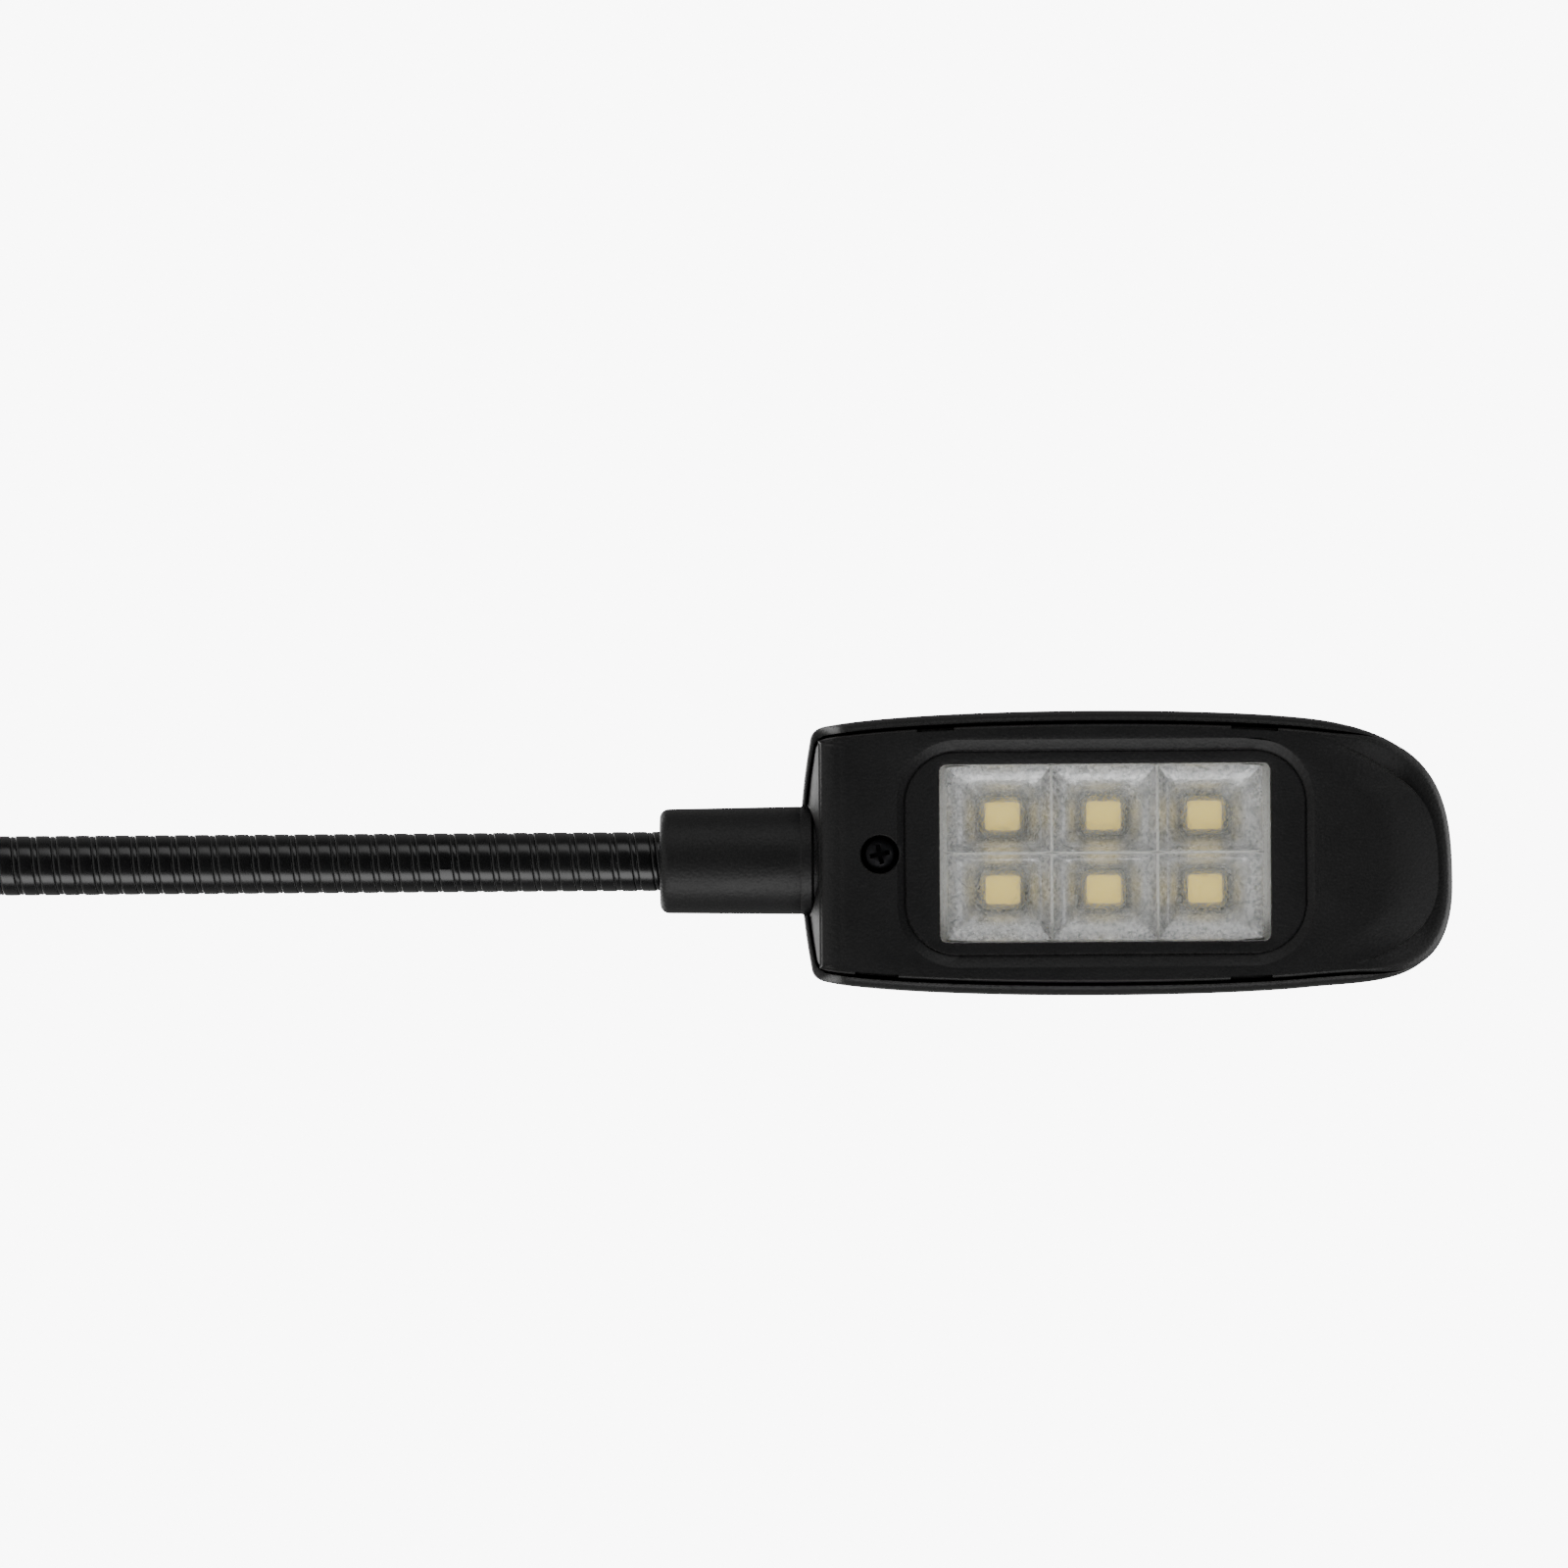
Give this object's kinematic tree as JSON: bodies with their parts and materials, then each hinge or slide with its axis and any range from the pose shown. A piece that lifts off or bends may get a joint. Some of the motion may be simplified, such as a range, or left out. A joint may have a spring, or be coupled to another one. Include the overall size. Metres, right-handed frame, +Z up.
{
  "type": "clip on reading lamp",
  "caption": "Reading lamp with a slim rounded LED head on a bending gooseneck and a sprung clip that holds its batteries.",
  "frame": {"origin": "middle of the fixed jaw pad's flat face, in the clip", "axes": "+Z up the straight neck from clip to head, -Y the way the light shines, +Y out of the fixed jaw pad towards the thing gripped"},
  "size_m": [0.046, 0.041, 0.4572],
  "materials": {
    "black_plastic": "moulded ABS, fine matt grain",
    "black_rubber": "moulded, ribbed, matt",
    "black_screw": "black oxide",
    "battery_can": "printed film sleeve, glossy",
    "spring_steel": "nickel plated",
    "board_laminate": "solder mask, satin",
    "ferrule_brass": "turned",
    "neck_wire": "glossy black coated wire",
    "lead_sleeve": "extruded, matt",
    "clear_lens": "clear moulded, fine grain inside",
    "mirror_coat": "vacuum metallised",
    "phosphor": "silicone with yellow phosphor"
  },
  "bodies": {
    "base": {"base_front_housing": "black_plastic", "base_back_housing": "black_plastic", "housing_screw_1": "black_screw", "housing_screw_2": "black_screw", "housing_screw_3": "black_screw", "housing_screw_4": "black_screw", "fixed_jaw_pad": "black_rubber", "battery_1": "battery_can", "battery_spring_1": "spring_steel", "contact_plate_1": "spring_steel", "battery_2": "battery_can", "battery_spring_2": "spring_steel", "contact_plate_2": "spring_steel", "battery_3": "battery_can", "battery_spring_3": "spring_steel", "contact_plate_3": "spring_steel", "control_board": "board_laminate", "tact_switch": "black_plastic", "hinge_pin": "spring_steel", "torsion_spring": "spring_steel", "base_ferrule": "ferrule_brass", "base_collar": "black_plastic", "neck_segment_1": "neck_wire", "neck_lead": "lead_sleeve"},
    "battery_door": {"battery_door": "black_plastic"},
    "power_button": {"power_button": "black_rubber"},
    "clip_lever": {"clip_lever": "black_plastic", "moving_jaw_pad": "black_rubber"},
    "neck_link_2": {"neck_segment_2": "neck_wire"},
    "neck_link_3": {"neck_segment_3": "neck_wire"},
    "neck_link_4": {"neck_segment_4": "neck_wire"},
    "neck_link_5": {"neck_segment_5": "neck_wire"},
    "neck_link_6": {"neck_segment_6": "neck_wire"},
    "neck_link_7": {"neck_segment_7": "neck_wire"},
    "neck_link_8": {"neck_segment_8": "neck_wire"},
    "neck_link_9": {"neck_segment_9": "neck_wire"},
    "neck_link_10": {"neck_segment_10": "neck_wire"},
    "neck_link_11": {"neck_segment_11": "neck_wire"},
    "head": {"neck_segment_12": "neck_wire", "head_collar": "black_plastic", "head_ferrule": "ferrule_brass", "head_back_shell": "black_plastic", "head_front_cover": "black_plastic", "head_screw": "black_screw", "lens_panel": "clear_lens", "reflector": "mirror_coat", "led_board": "board_laminate", "led_1": "phosphor", "led_2": "phosphor", "led_3": "phosphor", "led_4": "phosphor", "led_5": "phosphor", "led_6": "phosphor"}
  },
  "joints": [
    {"name": "neck_lower_bend", "type": "hinge", "parent": "base", "child": "neck_link_2", "pos_m": [0, -0.01, 0.0882], "axis": [1, 0, 0], "range_deg": [-22.5, 22.5], "deforming": ["neck_lead"]},
    {"name": "neck_lower_bend_2", "type": "hinge", "parent": "neck_link_2", "child": "neck_link_3", "pos_m": [0, -0.01, 0.1132], "axis": [1, 0, 0], "range_deg": [-22.5, 22.5]},
    {"name": "neck_lower_bend_3", "type": "hinge", "parent": "neck_link_3", "child": "neck_link_4", "pos_m": [0, -0.01, 0.1382], "axis": [1, 0, 0], "range_deg": [-22.5, 22.5]},
    {"name": "neck_lower_bend_4", "type": "hinge", "parent": "neck_link_4", "child": "neck_link_5", "pos_m": [0, -0.01, 0.1632], "axis": [1, 0, 0], "range_deg": [-22.5, 22.5]},
    {"name": "neck_side_bend", "type": "hinge", "parent": "neck_link_5", "child": "neck_link_6", "pos_m": [0, -0.01, 0.1882], "axis": [0, 1, 0], "range_deg": [-20, 20]},
    {"name": "neck_side_bend_2", "type": "hinge", "parent": "neck_link_6", "child": "neck_link_7", "pos_m": [0, -0.01, 0.2132], "axis": [0, 1, 0], "range_deg": [-20, 20]},
    {"name": "neck_side_bend_3", "type": "hinge", "parent": "neck_link_7", "child": "neck_link_8", "pos_m": [0, -0.01, 0.2382], "axis": [0, 1, 0], "range_deg": [-20, 20]},
    {"name": "neck_upper_bend", "type": "hinge", "parent": "neck_link_8", "child": "neck_link_9", "pos_m": [0, -0.01, 0.2632], "axis": [1, 0, 0], "range_deg": [-22.5, 22.5]},
    {"name": "neck_upper_bend_2", "type": "hinge", "parent": "neck_link_9", "child": "neck_link_10", "pos_m": [0, -0.01, 0.2882], "axis": [1, 0, 0], "range_deg": [-22.5, 22.5]},
    {"name": "neck_upper_bend_3", "type": "hinge", "parent": "neck_link_10", "child": "neck_link_11", "pos_m": [0, -0.01, 0.3132], "axis": [1, 0, 0], "range_deg": [-22.5, 22.5]},
    {"name": "neck_upper_bend_4", "type": "hinge", "parent": "neck_link_11", "child": "head", "pos_m": [0, -0.01, 0.3382], "axis": [1, 0, 0], "range_deg": [-22.5, 22.5]},
    {"name": "clip_open", "type": "hinge", "parent": "base", "child": "clip_lever", "pos_m": [0, 0.007, 0.024], "axis": [1, 0, 0], "range_deg": [0, 32], "stiffness_Nm_per_rad": 0.35, "springref_deg": -34.38, "deforming": ["torsion_spring"]},
    {"name": "power_press", "type": "slide", "parent": "base", "child": "power_button", "axis": [0, 1, 0], "range_m": [0, 0.001], "stiffness_N_per_m": 600, "springref_m": -0.0005},
    {"name": "battery_door_slide", "type": "slide", "parent": "base", "child": "battery_door", "axis": [0, 0, -1], "range_m": [0, 0.053]}
  ],
  "couplings": [
    {"joint": "neck_lower_bend_2", "follows": "neck_lower_bend", "ratio": 1},
    {"joint": "neck_lower_bend_3", "follows": "neck_lower_bend", "ratio": 1},
    {"joint": "neck_lower_bend_4", "follows": "neck_lower_bend", "ratio": 1},
    {"joint": "neck_side_bend_2", "follows": "neck_side_bend", "ratio": 1},
    {"joint": "neck_side_bend_3", "follows": "neck_side_bend", "ratio": 1},
    {"joint": "neck_upper_bend_2", "follows": "neck_upper_bend", "ratio": 1},
    {"joint": "neck_upper_bend_3", "follows": "neck_upper_bend", "ratio": 1},
    {"joint": "neck_upper_bend_4", "follows": "neck_upper_bend", "ratio": 1}
  ]
}
